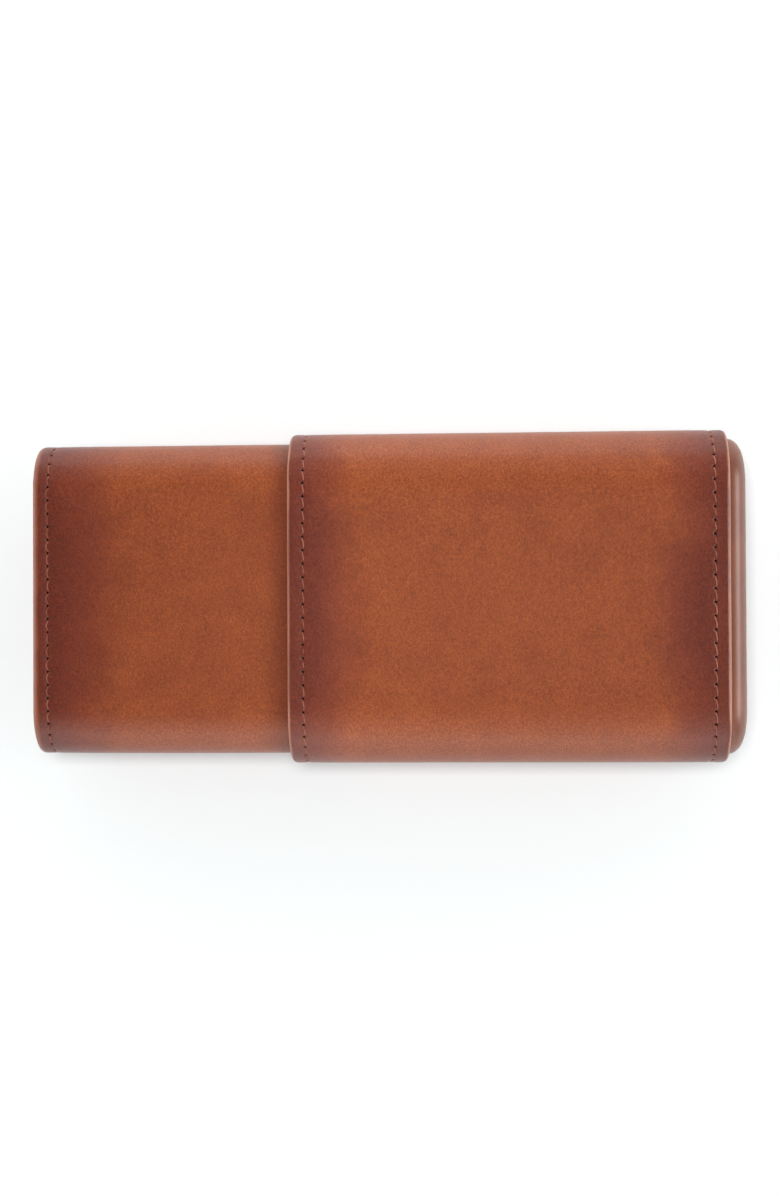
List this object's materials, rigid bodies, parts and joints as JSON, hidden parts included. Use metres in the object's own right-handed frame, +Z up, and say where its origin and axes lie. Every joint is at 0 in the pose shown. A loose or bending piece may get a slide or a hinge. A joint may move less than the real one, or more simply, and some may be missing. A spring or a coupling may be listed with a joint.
{
  "type": "telescoping leather brush case",
  "caption": "Flattened telescoping leather case for brushes: a stitched inner half slides into a wider outer half with a moulded domed end.",
  "frame": {"origin": "centre of the bounding box at rest, on the flat underside that the case lies on", "axes": "+X along the case from the inner half's closed end to the outer half's domed end, +Y across its width, +Z up out of its broad face"},
  "size_m": [0.1924, 0.09, 0.031],
  "materials": {
    "cover_leather": "hand-burnished pull-up leather, dark along the stitching",
    "moulded_leather": "smooth moulded and polished",
    "board": "grey-brown board",
    "suede_lining": "napped suede",
    "thread": "waxed thread"
  },
  "bodies": {
    "outer_half": {"outer_cover": "cover_leather", "outer_end_cap": "moulded_leather", "outer_core": "board", "outer_end_former": "board", "outer_lining": "suede_lining", "outer_end_facing": "suede_lining", "outer_mouth_stitches": "thread", "outer_end_stitches": "thread", "outer_seam_stitches": "thread"},
    "inner_half": {"inner_cover": "cover_leather", "inner_end_cap": "moulded_leather", "inner_core": "board", "inner_end_board": "board", "inner_lining": "suede_lining", "inner_end_facing": "suede_lining", "inner_mouth_stitches": "thread", "inner_end_stitches": "thread", "inner_seam_stitches": "thread"}
  },
  "joints": [
    {"name": "telescope_slide", "type": "slide", "parent": "outer_half", "child": "inner_half", "axis": [-1, 0, 0], "range_m": [-0.0648, 0.075]}
  ]
}
